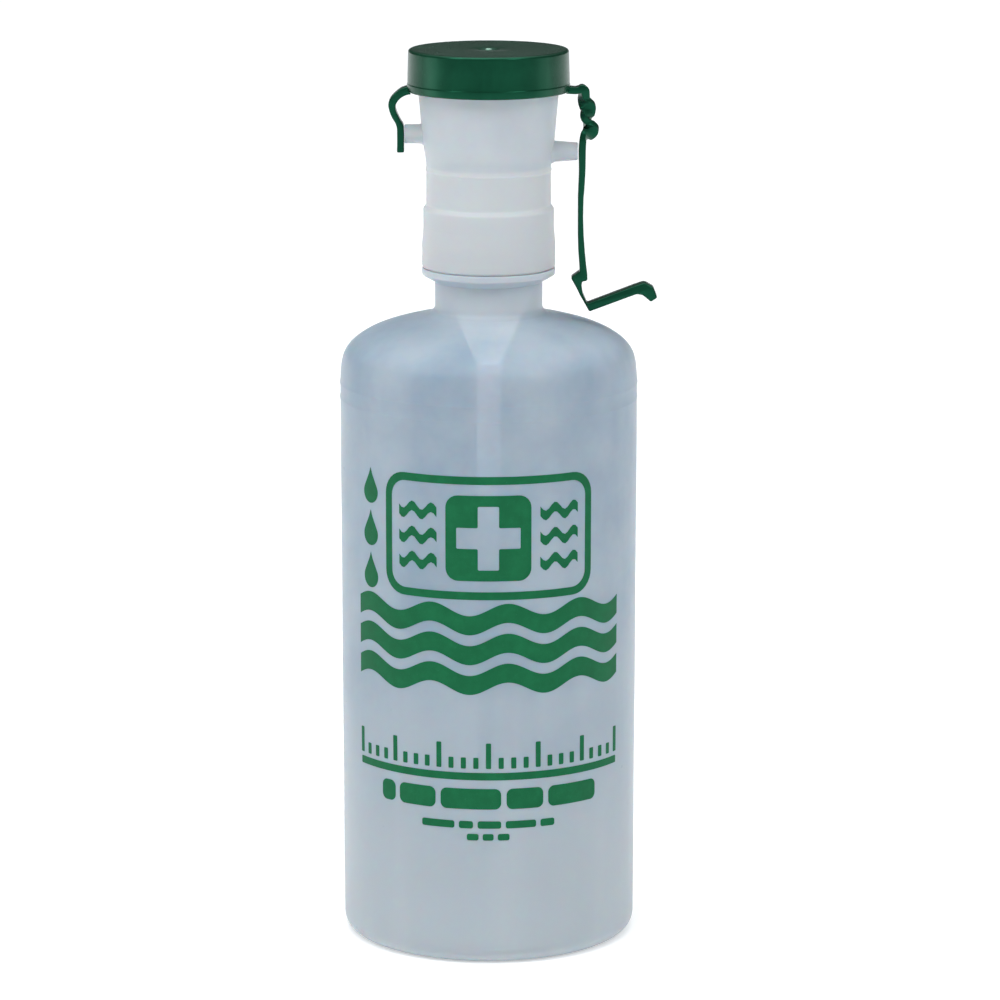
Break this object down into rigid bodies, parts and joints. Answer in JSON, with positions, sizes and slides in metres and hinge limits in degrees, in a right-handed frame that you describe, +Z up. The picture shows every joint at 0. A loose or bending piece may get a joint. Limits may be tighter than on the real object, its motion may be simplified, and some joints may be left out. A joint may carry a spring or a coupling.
{
  "type": "eyewash squeeze bottle",
  "caption": "Translucent squeeze bottle with a screw-on flared eye cup, drain tubes and a dust cap on a long moulded strap.",
  "frame": {"origin": "centre of the bottle's standing face, on its axis", "axes": "+Z up along the bottle's axis, +X towards the long strap, +Y away from the printed front"},
  "size_m": [0.0758, 0.0712, 0.2143],
  "materials": {
    "soft_bottle": "translucent natural low-density polyethylene, satin",
    "cup_plastic": "translucent natural polypropylene, satin",
    "white_insert": "milky white polyethylene, satin",
    "tube_plastic": "clear natural polyethylene tube",
    "gasket_foam": "white foamed polyethylene seal",
    "green_plastic": "dark green moulded polyethylene, satin"
  },
  "bodies": {
    "bottle": {"bottle": "soft_bottle"},
    "nozzle": {"nozzle_insert": "white_insert", "spray_disc": "white_insert", "neck_gasket": "gasket_foam", "dip_tube": "tube_plastic"},
    "eye_cup": {"eye_cup": "cup_plastic"},
    "dust_cap": {"dust_cap": "green_plastic"},
    "drain_cover": {"drain_cover_arm": "green_plastic"},
    "strap_knuckle": {"strap_knuckle": "green_plastic"},
    "long_strap": {"long_strap": "green_plastic"},
    "strap_foot": {"strap_foot": "green_plastic"},
    "pull_tab": {"pull_tab": "green_plastic"}
  },
  "joints": [
    {"name": "head_rise", "type": "slide", "parent": "bottle", "child": "nozzle", "axis": [0, 0, 1], "range_m": [0, 0.00636]},
    {"name": "head_turn", "type": "hinge", "parent": "nozzle", "child": "eye_cup", "pos_m": [0, 0, 0.173], "axis": [0, 0, 1], "range_deg": [0, 540]},
    {"name": "cap_lift", "type": "slide", "parent": "eye_cup", "child": "dust_cap", "axis": [0, 0, 1], "range_m": [0, 0.024]},
    {"name": "drain_cover_bend", "type": "hinge", "parent": "dust_cap", "child": "drain_cover", "pos_m": [-0.02005, 0, 0.20545], "axis": [0, 1, 0], "range_deg": [0, 60], "stiffness_Nm_per_rad": 0.002},
    {"name": "strap_root_bend", "type": "hinge", "parent": "dust_cap", "child": "strap_knuckle", "pos_m": [0.02005, 0, 0.20545], "axis": [0, -1, 0], "range_deg": [0, 60], "stiffness_Nm_per_rad": 0.004},
    {"name": "strap_bend", "type": "hinge", "parent": "strap_knuckle", "child": "long_strap", "pos_m": [0.0232, 0, 0.19355], "axis": [0, -1, 0], "range_deg": [0, 80], "stiffness_Nm_per_rad": 0.002},
    {"name": "strap_foot_bend", "type": "hinge", "parent": "long_strap", "child": "strap_foot", "pos_m": [0.0231, 0, 0.1615], "axis": [0, -1, 0], "range_deg": [0, 60], "stiffness_Nm_per_rad": 0.001},
    {"name": "pull_tab_bend", "type": "hinge", "parent": "strap_foot", "child": "pull_tab", "pos_m": [0.023, 0, 0.1533], "axis": [0, 1, 0], "range_deg": [0, 45], "stiffness_Nm_per_rad": 0.0006}
  ],
  "couplings": [
    {"joint": "head_rise", "follows": "head_turn", "m_per_rad": 0.00067371}
  ]
}
